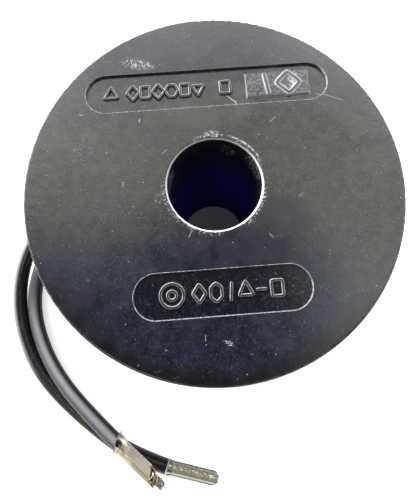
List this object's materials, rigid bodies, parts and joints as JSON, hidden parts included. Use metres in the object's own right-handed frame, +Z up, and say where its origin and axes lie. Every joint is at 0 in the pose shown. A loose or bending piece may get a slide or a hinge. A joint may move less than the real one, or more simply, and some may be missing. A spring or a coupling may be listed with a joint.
{
  "type": "relay coil",
  "caption": "Resin-encapsulated round magnet coil with a central through bore, marking recesses on one face and two flying leads ending in crimped ferrules.",
  "frame": {"origin": "centre of the plain back face, on the bore's axis, where the coil stands", "axes": "+Z up the bore towards the marked front face; +X along the two marking recesses, with the longer one on the +Y side"},
  "size_m": [0.0845, 0.0912, 0.048],
  "materials": {
    "moulding": "black filled thermoset moulding, satin, scuffed and dusty",
    "bobbin": "natural glass-filled polyamide, moulded",
    "winding": "enamelled copper wire, layer wound and varnished",
    "tape": "yellow polyester insulating tape",
    "splice": "tinned copper crimp sleeve",
    "lead": "black PVC insulation, extruded, semi-gloss",
    "strands": "bunched tinned copper strands",
    "ferrule": "tin-plated copper ferrule, pressed and scuffed"
  },
  "bodies": {
    "root": {"moulding": "moulding", "bobbin": "bobbin", "winding": "winding", "tape": "tape", "splice_a": "splice", "splice_b": "splice", "lead_a": "lead", "lead_b": "lead", "conductor_a": "strands", "conductor_b": "strands", "ferrule_a": "ferrule", "ferrule_b": "ferrule"}
  },
  "joints": []
}
